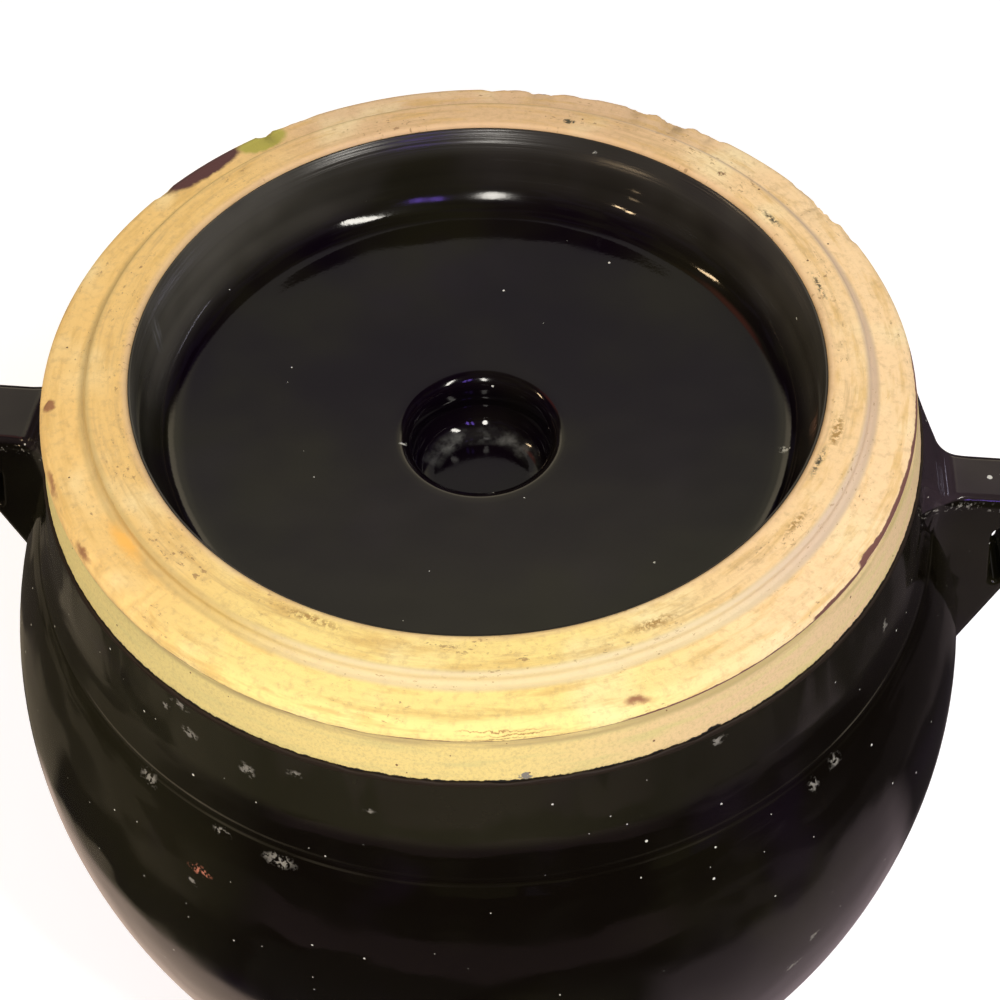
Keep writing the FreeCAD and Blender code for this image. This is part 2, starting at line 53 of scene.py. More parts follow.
class Finish:
    """A surface finish, built from patterns that lie still on the piece."""

    def __init__(self, name, middle=0.0):
        self.material = bpy.data.materials.new(name)
        self.material.use_nodes = True
        self.tree = self.material.node_tree
        self.shader = self.tree.nodes["Principled BSDF"]
        self.place = self.node("ShaderNodeTexCoord").outputs["Object"]
        self.across, self.deep, self.height = self.split(self.place)
        self.across = self.maths("SUBTRACT", self.across, middle)
        self.radius = self.length(self.vector(self.across, self.deep, 0.0))
        self.east = self.maths("DIVIDE", self.across, self.radius)
        self.north = self.maths("DIVIDE", self.deep, self.radius)

    def node(self, kind, **inputs):
        """A new node, with some of its inputs fed by name."""
        made = self.tree.nodes.new(kind)
        for name, value in inputs.items():
            self.feed(made.inputs[name.replace("_", " ")], value)
        return made

    def feed(self, socket, value):
        """Set a socket to a number or colour, or link another node's output to it."""
        if isinstance(value, bpy.types.NodeSocket):
            self.tree.links.new(value, socket)
        elif isinstance(value, tuple) and socket.type == "RGBA":
            socket.default_value = (*value, 1.0)
        else:
            socket.default_value = value

    def operate(self, kind, operation, values, output=0):
        """One sum on numbers or vectors, such as an addition."""
        made = self.node(kind)
        made.operation = operation
        for socket, value in zip(made.inputs, values):
            self.feed(socket, value)
        return made.outputs[output]

    def maths(self, operation, *values):
        return self.operate("ShaderNodeMath", operation, values)

    def split(self, vector):
        return self.node("ShaderNodeSeparateXYZ", Vector=vector).outputs

    def vector(self, x, y, z):
        return self.node("ShaderNodeCombineXYZ", X=x, Y=y, Z=z).outputs[0]

    def length(self, vector):
        return self.operate("ShaderNodeVectorMath", "LENGTH", [vector], "Value")

    def noise(self, grain, detail=3.0, rough=0.5, place=None, out="Fac"):
        """Cloudy variation whose blotches are about one grain across, in metres."""
        made = self.node("ShaderNodeTexNoise", Scale=1.0 / grain, Detail=detail, Roughness=rough)
        self.feed(made.inputs["Vector"], place or self.place)
        return made.outputs[out]

    def turned(self, along, across):
        """Places stretched round the wheel: marks along by across, in metres, with no seam.

        The marks are as long as that at the usual radius, and longer further out.
        """
        around = USUAL_RADIUS / along
        profile = self.maths("SUBTRACT", self.radius, self.height)
        return self.vector(
            self.maths("MULTIPLY", self.east, around),
            self.maths("MULTIPLY", self.north, around),
            self.maths("DIVIDE", profile, across),
        )

    def streaks(self, along, across, detail=3.0, rough=0.5):
        return self.noise(1.0, detail, rough, self.turned(along, across))

    def specks(self, spacing, size, share=1.0):
        """Small round specks about a spacing apart; a share of the places has one."""
        made = self.node("ShaderNodeTexVoronoi", Scale=1.0 / spacing, Vector=self.place)
        chosen = self.node("ShaderNodeSeparateColor", Color=made.outputs["Color"]).outputs[0]
        reach = self.maths("MULTIPLY", chosen, size / spacing / share)
        near = self.maths("LESS_THAN", made.outputs["Distance"], reach)
        return self.both(near, self.maths("LESS_THAN", chosen, share))

    def fade(self, value, low, high, start=0.0, end=1.0):
        """A soft step: start below low, end above high."""
        made = self.node(
            "ShaderNodeMapRange", Value=value, From_Min=low, From_Max=high, To_Min=start, To_Max=end
        )
        made.interpolation_type = "SMOOTHSTEP"
        return made.outputs[0]

    def stripe(self, value, middle, half, soft):
        """One where a value is within half of the middle, fading out over soft."""
        away = self.maths("ABSOLUTE", self.maths("SUBTRACT", value, middle))
        return self.fade(away, half, half + soft, 1.0, 0.0)

    def mix(self, factor, under, over):
        """One colour over another, as strongly as the factor says."""
        made = self.node("ShaderNodeMix")
        made.data_type = "RGBA"
        for socket, value in ((0, factor), (6, under), (7, over)):
            self.feed(made.inputs[socket], value)
        return made.outputs[2]

    def layers(self, colour, *layers):
        """Lay colours over each other, each given as how strongly it shows and what it is."""
        for factor, over in layers:
            colour = self.mix(factor, colour, over)
        return colour

    def both(self, *values):
        """Where all the values hold: their product."""
        result = values[0]
        for value in values[1:]:
            result = self.maths("MULTIPLY", result, value)
        return result

    def either(self, *values):
        """Where any of the values holds: the largest."""
        result = values[0]
        for value in values[1:]:
            result = self.maths("MAXIMUM", result, value)
        return result

    def ragged(self, grain, throw):
        """The piece's places, pushed about by up to a throw, so that edges on them turn ragged."""
        cloud = self.noise(grain, 4.0, 0.65, out="Color")
        back = self.operate("ShaderNodeVectorMath", "SUBTRACT", [self.place, (throw,) * 3])
        return self.operate("ShaderNodeVectorMath", "MULTIPLY_ADD", [cloud, (2 * throw,) * 3, back])

    def patch(self, place, bearing, radius, height, along, across, tall, soft=0.3):
        """A spot at a bearing in degrees, with its half sizes along and across the rim and up."""
        angle = math.radians(bearing)
        made = self.node("ShaderNodeMapping", Vector=place)
        made.vector_type = "TEXTURE"
        spot = (radius * math.cos(angle), radius * math.sin(angle), height)
        made.inputs["Location"].default_value = spot
        made.inputs["Rotation"].default_value = (0.0, 0.0, angle)
        made.inputs["Scale"].default_value = (across, along, tall)
        return self.fade(self.length(made.outputs[0]), 1.0 - soft, 1.0, 1.0, 0.0)

    def sector(self, start, end, soft=4.0):
        """One between two bearings, in degrees, less than half a turn apart."""
        middle, half = math.radians((start + end) / 2), math.radians((end - start) / 2)
        toward = self.maths(
            "ADD",
            self.maths("MULTIPLY", self.east, math.cos(middle)),
            self.maths("MULTIPLY", self.north, math.sin(middle)),
        )
        return self.fade(toward, math.cos(half + math.radians(soft)), math.cos(half))

    def bump(self, height, depth, under=None):
        """Relief of a depth in metres where the height pattern is one."""
        made = self.node("ShaderNodeBump", Height=height, Distance=depth)
        if under is not None:
            self.feed(made.inputs["Normal"], under)
        return made.outputs[0]

    def finish(self, **inputs):
        """Feed the shader's own inputs and give the material back."""
        for name, value in inputs.items():
            self.feed(self.shader.inputs[name.replace("_", " ")], value)
        return self.material


def dress(node_names, finish):
    """Give CAD nodes one finish in place of their plain ones."""
    for name in node_names:
        for slot in nodes[name].material_slots:
            slot.material = finish


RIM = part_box("pot_body")[1][2]
FOOT_LINE, GLAZE_LINE = (corner[2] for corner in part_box("glaze_outside"))
BAND_RADIUS = 0.0899

BAND_BUFF = (0.77, 0.62, 0.22)
BAND_GREEN = (0.62, 0.54, 0.21)
BAND_GRAIN_AND_SHADE = (0.46, 0.36, 0.15)
BAND_TAN = (0.70, 0.50, 0.27)
IRON_SPOT = (0.16, 0.075, 0.03)
GLAZE_BLACK = (0.0032, 0.0023, 0.0014)
FLAKE_AND_HIGHLIGHT_GREY = (0.20, 0.19, 0.16)


def band_clay():
    """Buff clay, with the glaze's colour below the glaze line and above the foot."""
    clay = Finish("wiped_band_clay")
    wander = clay.ragged(0.0012, 0.0006)
    edge_height = clay.split(wander)[2]
    glazed = clay.fade(edge_height, GLAZE_LINE + 0.0001, GLAZE_LINE + 0.0003, 1.0, 0.0)
    above_foot = clay.fade(clay.height, FOOT_LINE, FOOT_LINE + 0.001)
    shade_under_lid = clay.stripe(clay.height, RIM, 0.0008, 0.0014)
    flake = clay.patch(wander, -79.2, BAND_RADIUS, RIM - 0.0085, 0.0015, 0.002, 0.0009)
    tongue = clay.patch(wander, -57.1, BAND_RADIUS + 0.001, RIM - 0.0092, 0.0022, 0.002, 0.0009)
    sandy = clay.fade(clay.noise(0.0006, 4.0, 0.75), 0.42, 0.75, 0.0, 0.6)
    cloudy = clay.fade(clay.streaks(0.02, 0.003, 4.0, 0.6), 0.45, 0.7, 0.0, 0.8)
    colour = clay.layers(
        BAND_BUFF,
        # Browner at the right: partly the clay's own tone, partly a painted tint of the light from
        # that side.
        (clay.sector(-50, 60, 35), BAND_TAN),
        (clay.both(clay.sector(-215, -125, 30), 0.5), BAND_GREEN),
        (cloudy, BAND_GREEN),
        (sandy, BAND_GRAIN_AND_SHADE),
        # Painted shade: the band is darkened in a streaky line just under the lid's edge.
        (clay.both(shade_under_lid, clay.fade(clay.streaks(0.02, 0.002), 0.3, 0.6)), BAND_GRAIN_AND_SHADE),
        (clay.specks(0.0019, 0.00028, 0.3), IRON_SPOT),
        (clay.both(flake, clay.fade(clay.noise(0.0008, 2.0), 0.42, 0.52)), FLAKE_AND_HIGHLIGHT_GREY),
        (tongue, GLAZE_BLACK),
        (clay.both(glazed, above_foot), GLAZE_BLACK),
    )
    grain = clay.bump(clay.noise(0.0006, 4.0, 0.7), 0.00012)
    return clay.finish(Base_Color=colour, Roughness=0.8, Normal=grain)


dress(["pot_body"], band_clay())


# ---------------------------------------------------------------------------------------------
# The lid: thrown as a dish, then its flange and locating ring turned on the wheel and left bare.
# It is cream, made tanner towards the back by painted shade, and peach at the right and orange at
# the left by painted tints of the light, partly the clay's own tone; its edge has been chipped in
# use. It lies on the rim the wrong way up, with its dish open to the top and its knob in the pot's
# mouth.

lid_low, lid_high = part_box("lid")
LID_MIDDLE = (lid_low[0] + lid_high[0]) / 2
RING_TOP = lid_high[2]
RING_STEP = 0.0023
FLANGE = RING_TOP - RING_STEP
FLANGE_THICK = 0.0036
RING_EDGE = 0.0784
EDGE = (lid_high[0] - lid_low[0]) / 2
EDGE_ROUND = 0.0028
LIP = 0.0700
DISH_CURVE = 0.35
DISH_DEPTH = 0.02751
DISH_THICK = 0.0051
GLAZE_THICK = 0.0005
THROAT = 0.0152


def dish_floor(radii, under):
    """Points down the dish's shallow curve, at some radii and some way under its glaze."""
    return [(reach, DISH_DEPTH - reach**2 / (2 * DISH_CURVE) + under, 0.0) for reach in radii]


# Each corner: its radius, its depth below the locating ring's top, and how it is rounded off.
LID_OUTLINE = [
    (LIP, 0.0, 0.0010),
    (RING_EDGE, 0.0, 0.0009),
    (RING_EDGE, RING_STEP, 0.0010),
    (EDGE, RING_STEP, EDGE_ROUND),
    (EDGE, RING_STEP + FLANGE_THICK, 0.0005),
    (0.0760, RING_STEP + FLANGE_THICK, 0.0025),
    (0.0741, 0.0161, 0.0),
    (0.0717, 0.0257, 0.0097),
    (0.0620, 0.0275, 0.0),
    *dish_floor((0.0486, 0.0347), GLAZE_THICK + DISH_THICK),
    (0.0224, 0.0324, 0.0),
    (THROAT + GLAZE_THICK, 0.0324, 0.0),
    (THROAT + GLAZE_THICK, 0.0277, 0.0018),
    *dish_floor((0.0212, 0.0347, 0.0486, 0.0600), GLAZE_THICK),
    (LIP, 0.0211, 0.0073),
]
# Each chip: its bearing in degrees, half its length along the edge, and how deep it bites.
CHIPS = [
    (150, 0.0030, 0.0005),
    (131, 0.0022, 0.0009),
    (126, 0.0060, 0.0003),
    (93, 0.0040, 0.0005),
    (86, 0.0050, 0.0008),
    (79, 0.0030, 0.0003),
    (70, 0.0036, 0.0009),
    (64, 0.0048, 0.0013),
    (58, 0.0042, 0.0007),
    (40, 0.0045, 0.0005),
    (35, 0.0055, 0.0013),
    (29, 0.0030, 0.0006),
    (-128, 0.0050, 0.0009),
    (-133, 0.0035, 0.0006),
    (-137, 0.0030, 0.0007),
    (-150, 0.0040, 0.0003),
    (-166, 0.0018, 0.0004),
    (-97, 0.0018, 0.0004),
]
CHIP_LEAN = math.radians(50)
CHIP_INNER = 0.083
CHIP_LEVEL = 0.0005
MERGE = 0.00001


def outline_face(shape, outline, top, middle):
    """One upright face through the corners of an outline, which are then rounded off."""
    corners = [shape.verts.new((middle + reach, 0.0, top - drop)) for reach, drop, _ in outline]
    shape.faces.new(corners)
    for corner, (_, _, rounding) in zip(corners, outline):
        if rounding:
            bmesh.ops.bevel(
                shape,
                geom=[corner],
                offset=rounding,
                offset_type="OFFSET",
                affect="VERTICES",
                segments=10,
                profile=0.5,
                material=-1,
            )
    return shape.faces[:]


def chip_depth(bearing, spot):
    """How deep the edge is chipped at a bearing, rough from spot to spot."""
    depth = 0.00006 * noise.noise(spot * 300)
    for middle, half, bite in CHIPS:
        away = math.radians(abs((bearing - middle + 180) % 360 - 180)) * EDGE / half
        if away < 1:
            depth = max(depth, bite * (1 - away**3) * (0.85 + 0.7 * noise.noise(spot * 700)))
    return depth


def chip_edge(shape):
    """Break small chips off the flange's outer edge, each a rough flat cut across its round."""
    lean = Vector((math.cos(CHIP_LEAN), math.sin(CHIP_LEAN)))
    middle = Vector((EDGE - EDGE_ROUND, FLANGE - EDGE_ROUND))
    for vert in shape.verts:
        across = vert.co.x - LID_MIDDLE
        place = Vector((math.hypot(across, vert.co.y), vert.co.z))
        level = (place - middle).dot(lean)
        if place.x < CHIP_INNER or level < CHIP_LEVEL:
            continue
        bearing = math.degrees(math.atan2(vert.co.y, across))
        over = level - EDGE_ROUND + chip_depth(bearing, vert.co)
        if over > 0:
            kept = (place.x - over * lean.x) / place.x
            vert.co.x = LID_MIDDLE + across * kept
            vert.co.y *= kept
            vert.co.z -= over * lean.y


def turned_shape(outline, top, steps, middle):
    """A closed shape turned round an upright axis from its outline."""
    shape = bmesh.new()
    faces = outline_face(shape, outline, top, middle)
    bmesh.ops.delete(shape, geom=faces, context="FACES_ONLY")
    bmesh.ops.spin(
        shape,
        geom=shape.verts[:] + shape.edges[:],
        cent=(middle, 0, 0),
        axis=(0, 0, 1),
        angle=math.tau,
        steps=steps,
        use_merge=True,
    )
    bmesh.ops.remove_doubles(shape, verts=shape.verts, dist=MERGE)
    bmesh.ops.recalc_face_normals(shape, faces=shape.faces)
    return shape


def finished_piece(name, shape, body):
    """Put a bmesh into the scene as a smooth piece that rides on a body."""
    mesh = bpy.data.meshes.new(name)
    shape.to_mesh(mesh)
    shape.free()
    mesh.shade_smooth()
    piece = bpy.data.objects.new(name, mesh)
    bpy.context.collection.objects.link(piece)
    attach(piece, body)
    return piece


lid_shape = turned_shape(LID_OUTLINE, RING_TOP, steps=720, middle=LID_MIDDLE)
chip_edge(lid_shape)
chipped_lid = finished_piece("chipped_lid", lid_shape, "lid")
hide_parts("lid")

CREAM_LEMON = (0.95, 0.77, 0.27)
CREAM_ORANGE = (0.84, 0.57, 0.20)
CREAM_PEACH = (0.92, 0.67, 0.36)
CREAM_TAN = (0.70, 0.48, 0.27)
OCHRE = (0.66, 0.42, 0.12)
OLD_GRIME = (0.45, 0.30, 0.13)
BROWN_DAB = (0.30, 0.17, 0.07)
PALE_GLOW = (0.96, 0.88, 0.52)
DRIP_AND_SEAM_SHADOW = (0.18, 0.070, 0.052)
MAROON = (0.085, 0.03, 0.03)
OLIVE_SPILL = (0.42, 0.38, 0.07)
RUST = (0.32, 0.15, 0.06)
STAIN_BROWN = (0.40, 0.24, 0.07)
STAIN_ORANGE = (0.86, 0.48, 0.10)
SCUFF_BLACK = (0.06, 0.055, 0.03)
# Painted shade and highlight for the step between the locating ring and the flange.
STEP_SHADE_GREEN = (0.46, 0.36, 0.15)
STEP_HIGHLIGHT_PALE = (0.80, 0.70, 0.46)
STEP_SHADE_PINK = (0.62, 0.46, 0.36)
# Each mark: bearing, radius, height, half sizes along, across and upward, softness, colour.
LID_MARKS = [
    (143, 0.0860, FLANGE, 0.0128, 0.0038, 0.005, 0.3, MAROON),
    (132.5, 0.0848, FLANGE, 0.0070, 0.0040, 0.005, 0.3, OLIVE_SPILL),
    (93, 0.0872, FLANGE, 0.0040, 0.0010, 0.002, 0.5, MAROON),
    (86, 0.0868, FLANGE, 0.0048, 0.0014, 0.002, 0.4, MAROON),
    (80, 0.0872, FLANGE, 0.0040, 0.0008, 0.002, 0.6, MAROON),
    (64, 0.0870, FLANGE, 0.0040, 0.0008, 0.002, 0.6, RUST),
    (35, 0.0872, FLANGE, 0.0040, 0.0006, 0.002, 0.6, RUST),
    (-138, 0.0805, FLANGE, 0.0075, 0.0022, 0.004, 0.9, STAIN_ORANGE),
    (-66, 0.0862, FLANGE, 0.0030, 0.0012, 0.003, 0.8, RUST),
    (-165, 0.0862, FLANGE, 0.0020, 0.0016, 0.002, 0.5, RUST),
    (-152, 0.0876, FLANGE, 0.0060, 0.0010, 0.003, 0.8, RUST),
    (-140, 0.0878, FLANGE, 0.0045, 0.0010, 0.003, 0.8, RUST),
    (-82, 0.0874, FLANGE - 0.0012, 0.0110, 0.0012, 0.0002, 0.8, STAIN_BROWN),
    (-80, 0.0878, FLANGE - 0.0019, 0.0100, 0.0012, 0.0002, 0.8, STAIN_BROWN),
    (-82, 0.0880, FLANGE - 0.0026, 0.0090, 0.0012, 0.0002, 0.8, STAIN_BROWN),
]
# Each mark on the ring: bearing, radius, half sizes along and across, softness, colour.
RING_MARKS = [
    (80, 0.0735, 0.0018, 0.0010, 0.3, SCUFF_BLACK),
    (50, 0.0740, 0.0009, 0.0009, 0.3, IRON_SPOT),
    (36, 0.0725, 0.0050, 0.0011, 0.9, SCUFF_BLACK),
    (18, 0.0717, 0.0060, 0.0009, 0.9, SCUFF_BLACK),
    (-14, 0.0724, 0.0060, 0.0014, 0.7, STAIN_BROWN),
    (-21, 0.0713, 0.0060, 0.0009, 0.9, SCUFF_BLACK),
    (-33, 0.0740, 0.0060, 0.0012, 0.9, STAIN_BROWN),
    (-60, 0.0745, 0.0070, 0.0016, 0.9, STAIN_BROWN),
    (-108, 0.0725, 0.0090, 0.0014, 0.9, STAIN_BROWN),
]
# Each run of the drip line: height above the rim, half its width, its bearings and softness.
DRIPS = [
    (0.0018, 0.0007, -31.5, 6, 0.6),
    (0.0010, 0.0006, -41, -30.5, 0.6),
    (0.0005, 0.0003, -66, -40, 2),
]


def dabs(clay, grain, low, high):
    """Small dark dabs of dirt about a grain across, crowded in some places."""
    crowd = clay.fade(clay.streaks(0.02, 0.005, 3.0), 0.45, 0.62)
    grains = clay.streaks(grain * 1.6, grain * 0.8, 3.0, 0.65)
    return clay.both(crowd, clay.fade(grains, low, high, 0.0, 0.75))


def drips_and_seam_shadow(clay):
    """The thin line of brown slip that ran along the lid's edge, wide at the right, with a line of
    painted shadow in the seam all round.
    """
    height = clay.split(clay.ragged(0.005, 0.0006))[2]
    runs = [
        clay.both(
            clay.stripe(height, RIM + above, half, 0.0002),
            clay.sector(start, end, soft),
        )
        for above, half, start, end, soft in DRIPS
    ]
    # Painted shadow: a thin dark line all round where the lid meets the rim.
    seam = clay.stripe(height, RIM + 0.0002, 0.0002, 0.0003)
    return clay.either(*runs, clay.both(seam, 0.9))


def lid_clay():
    """Cream clay in turned streaks and clouds, with the marks of use and spilled slip on it."""
    clay = Finish("turned_lid_clay", LID_MIDDLE)
    loose = clay.ragged(0.003, 0.0012)
    fine = clay.ragged(0.0009, 0.0007)
    ring = clay.fade(clay.radius, RING_EDGE - 0.0006, RING_EDGE + 0.0004, 1.0, 0.0)
    inner_lip = clay.fade(clay.radius, LIP + 0.0002, LIP + 0.0020, 1.0, 0.0)
    step = clay.stripe(clay.radius, RING_EDGE + 0.0004, 0.0007, 0.0012)
    right_step_shade = clay.both(step, clay.sector(-30, 60, 25))
    front_step_highlight = clay.both(step, clay.sector(-100, -25, 20))
    worn = clay.fade(clay.noise(0.0010, 3.0, 0.65), 0.42, 0.55)
    clouds = clay.fade(clay.streaks(0.016, 0.0028, 4.0, 0.65), 0.47, 0.70, 0.0, 0.62)
    smears = clay.fade(clay.noise(0.006, 4.0, 0.7), 0.52, 0.68, 0.0, 0.22)
    ring_streaks = clay.both(ring, clay.fade(clay.streaks(0.02, 0.0014, 4.0, 0.65), 0.5, 0.75))
    mottle = clay.fade(clay.noise(0.0018, 5.0, 0.7), 0.45, 0.75, 0.0, 0.4)
    colour = clay.layers(
        CREAM_LEMON,
        # Painted shade: tanner towards the back, where the light falls off. Painted tints of the
        # light, partly the clay's own tone: peach at the right, orange at the left.
        (clay.fade(clay.north, -0.55, 0.35), CREAM_TAN),
        (clay.sector(-38, 38, 35), CREAM_PEACH),
        (clay.sector(148, 222, 30), CREAM_ORANGE),
        (clay.both(ring, 0.15), OCHRE),
        (clay.fade(clay.noise(0.02, 2.0), 0.5, 0.75, 0.0, 0.5), PALE_GLOW),
        (clouds, OCHRE),
        (clay.both(smears, clay.fade(clay.streaks(0.004, 0.0012, 3.0), 0.4, 0.6)), OLD_GRIME),
        (mottle, OLD_GRIME),
        (clay.both(ring_streaks, 0.5), OLD_GRIME),
        (clay.both(inner_lip, 0.6), CREAM_TAN),
        # The step between ring and flange: painted shade all round, a pale painted highlight at the
        # front and pink painted shade at the right.
        (clay.both(step, 0.55), STEP_SHADE_GREEN),
        (clay.both(front_step_highlight, 0.55), STEP_HIGHLIGHT_PALE),
        (clay.both(right_step_shade, 0.6), STEP_SHADE_PINK),
        (dabs(clay, 0.0009, 0.62, 0.70), BROWN_DAB),
        (clay.both(ring, dabs(clay, 0.0014, 0.60, 0.68)), BROWN_DAB),
        (clay.specks(0.0050, 0.00036, 0.25), IRON_SPOT),
        (drips_and_seam_shadow(clay), DRIP_AND_SEAM_SHADOW),
    )
    for bearing, radius, height, along, across, tall, soft, ink in LID_MARKS:
        spot = clay.patch(loose, bearing, radius, height, along, across, tall, soft)
        colour = clay.mix(spot, colour, ink)
    for bearing, radius, along, across, soft, ink in RING_MARKS:
        spot = clay.patch(fine, bearing, radius, RING_TOP, along, across, 0.003, soft)
        colour = clay.mix(clay.both(spot, worn), colour, ink)
    lines = clay.bump(clay.streaks(0.2, 0.0009, 2.0), 0.00008)
    sand = clay.bump(clay.noise(0.0007, 4.0, 0.7), 0.00010, lines)
    relief = clay.bump(clay.streaks(0.03, 0.005, 2.0), 0.00045, sand)
    return clay.finish(Base_Color=colour, Roughness=0.72, Normal=relief)


turned_clay = lid_clay()
chipped_lid.data.materials.append(turned_clay)
dress(["lid_knob"], turned_clay)


# ---------------------------------------------------------------------------------------------
# The pot's coat: a thick slip glaze, glossy and almost black brown, into which the pot was dipped
# and which lines it too. It breaks to brown where it runs thin, and has flaked here and there.

GLAZE_OLIVE = (0.010, 0.009, 0.004)
GLAZE_BROWN = (0.052, 0.046, 0.032)
GLAZE_PLUM = (0.007, 0.004, 0.008)
EDGE_BROWN = (0.018, 0.011, 0.006)
GLAZE_GREEN = (0.016, 0.015, 0.008)
PIN_WHITE = (0.62, 0.62, 0.55)
# The colour of a painted red-brown highlight on the shoulder.
PAINTED_RED_HIGHLIGHT = (0.42, 0.15, 0.09)

NECK_TOP = 0.0907
NECK_FOOT = Vector((0.0937, RIM - 0.0245))
CREASE = RIM - 0.0344
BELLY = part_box("glaze_outside")[1][0]
BELLY_LEVEL = 0.0846
TUCK_LEVEL = 0.0350
FOOT_REACH = 0.0835
HOLLOW_CURVE = 0.03432
SHOULDER_CURVE = 0.12245
UNDER_CURVE = 0.18694
TUCK_CURVE = 0.04795

# The middle of each arc, as radius and height. The hollow one goes on from the neck's slope, the
# two of the belly meet at its widest level, and the tuck goes on from the lower of them.
neck_slope = (NECK_FOOT - Vector((NECK_TOP, GLAZE_LINE))).normalized()
hollow_middle = NECK_FOOT + HOLLOW_CURVE * Vector((-neck_slope.y, neck_slope.x))
shoulder_middle = Vector((BELLY - SHOULDER_CURVE, BELLY_LEVEL))
under_middle = Vector((BELLY - UNDER_CURVE, BELLY_LEVEL))
tuck_rise = math.asin((BELLY_LEVEL - TUCK_LEVEL) / UNDER_CURVE)
tuck_shift = Vector((math.cos(tuck_rise), -math.sin(tuck_rise)))
tuck_middle = under_middle + (UNDER_CURVE - TUCK_CURVE) * tuck_shift

# Each arc: its lowest height, its middle and its radius, negative where the coat is hollow.
COAT_ARCS = [
    (CREASE, hollow_middle, -HOLLOW_CURVE),
    (BELLY_LEVEL, shoulder_middle, SHOULDER_CURVE),
    (TUCK_LEVEL, under_middle, UNDER_CURVE),
    (0.0, tuck_middle, TUCK_CURVE),
]
GROOVE = [
    (0.09736, CREASE - 0.0003, 0.0003),
    (0.09790, CREASE - 0.0010, 0.0004),
    (0.09955, CREASE - 0.0036, 0.0012),
]
HOLLOW_TOP = RIM - 0.0272
SHOULDER_TOP = CREASE - 0.0061
COAT_STEP = 0.0034
UNEVEN_EDGE = 0.0008
EDGE_WANDER = 0.0005
EDGE_FRET = 0.0003


def coat_reach(height):
    """The coat's radius at a height: the neck's slope, or the arc that is there."""
    if height > NECK_FOOT.y:
        return NECK_FOOT.x + (height - NECK_FOOT.y) * neck_slope.x / neck_slope.y
    middle, curve = next((middle, curve) for lowest, middle, curve in COAT_ARCS if height > lowest)
    return middle.x + math.copysign(math.sqrt(curve**2 - (height - middle.y) ** 2), curve)


def coat_outline():
    """The coat's outside from the glaze line to the foot, then its inside back up."""
    hollow = [HOLLOW_TOP - COAT_STEP * step for step in range(3)]
    belly = [SHOULDER_TOP - COAT_STEP * step for step in range(39)]
    points = [
        (NECK_TOP, GLAZE_LINE, 0.0003),
        (NECK_FOOT.x, NECK_FOOT.y, 0.0),
        *[(coat_reach(height), height, 0.0) for height in hollow],
        *GROOVE,
        *[(coat_reach(height), height, 0.0) for height in belly],
        (FOOT_REACH, FOOT_LINE, 0.0003),
    ]
    outside = [(reach, RIM - height, rounding) for reach, height, rounding in points]
    return outside + [(reach - GLAZE_THICK, drop, 0.0) for reach, drop, _ in reversed(outside)]


coat_shape = turned_shape(coat_outline(), RIM, steps=480, middle=0.0)
for vert in coat_shape.verts:
    if vert.co.z > GLAZE_LINE - UNEVEN_EDGE:
        wander = EDGE_WANDER * noise.noise(vert.co * 230)
        vert.co.z += wander + EDGE_FRET * noise.noise(vert.co * 700)
pot_coat = finished_piece("pot_coat", coat_shape, "pot")
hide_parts("glaze_outside")

# Each scuff: its bearing and height, and half its length along the pot and upward.
POT_SCUFFS = [
    (-125.1, 0.1418, 0.0030, 0.0016),
    (-123.2, 0.1634, 0.0014, 0.0012),
    (-120.7, 0.1666, 0.0026, 0.0010),
    (-119.4, 0.1604, 0.0024, 0.0014),
    (-111.4, 0.1590, 0.0022, 0.0022),
    (-105.2, 0.1632, 0.0018, 0.0012),
    (-114.1, 0.1412, 0.0026, 0.0010),
    (-106.7, 0.1408, 0.0040, 0.0016),
    (-96.5, 0.1584, 0.0016, 0.0008),
    (-56.7, 0.1659, 0.0018, 0.0012),
    (-40.7, 0.1413, 0.0022, 0.0018),
    (-44.5, 0.1405, 0.0016, 0.0018),
    (-27.0, 0.1563, 0.0016, 0.0024),
    (-46.5, 0.0971, 0.0020, 0.0016),
    (-49.2, 0.0900, 0.0030, 0.0016),
    (-117.0, 0.1262, 0.0014, 0.0009),
]
SCUFF_DEPTH = 0.003


def scuffs(glaze, places):
    """Small scuffs where the glaze has flaked in crumbs, at places that patch() takes."""
    loose = glaze.ragged(0.0016, 0.0016)
    crumbs = glaze.fade(glaze.noise(0.0011, 3.0, 0.6), 0.46, 0.52)
    spots = [glaze.patch(loose, *place, 0.7) for place in places]
    return glaze.both(crumbs, glaze.either(*spots))


PIN_SPACING = 0.0034
PIN_SIZE = 0.0003


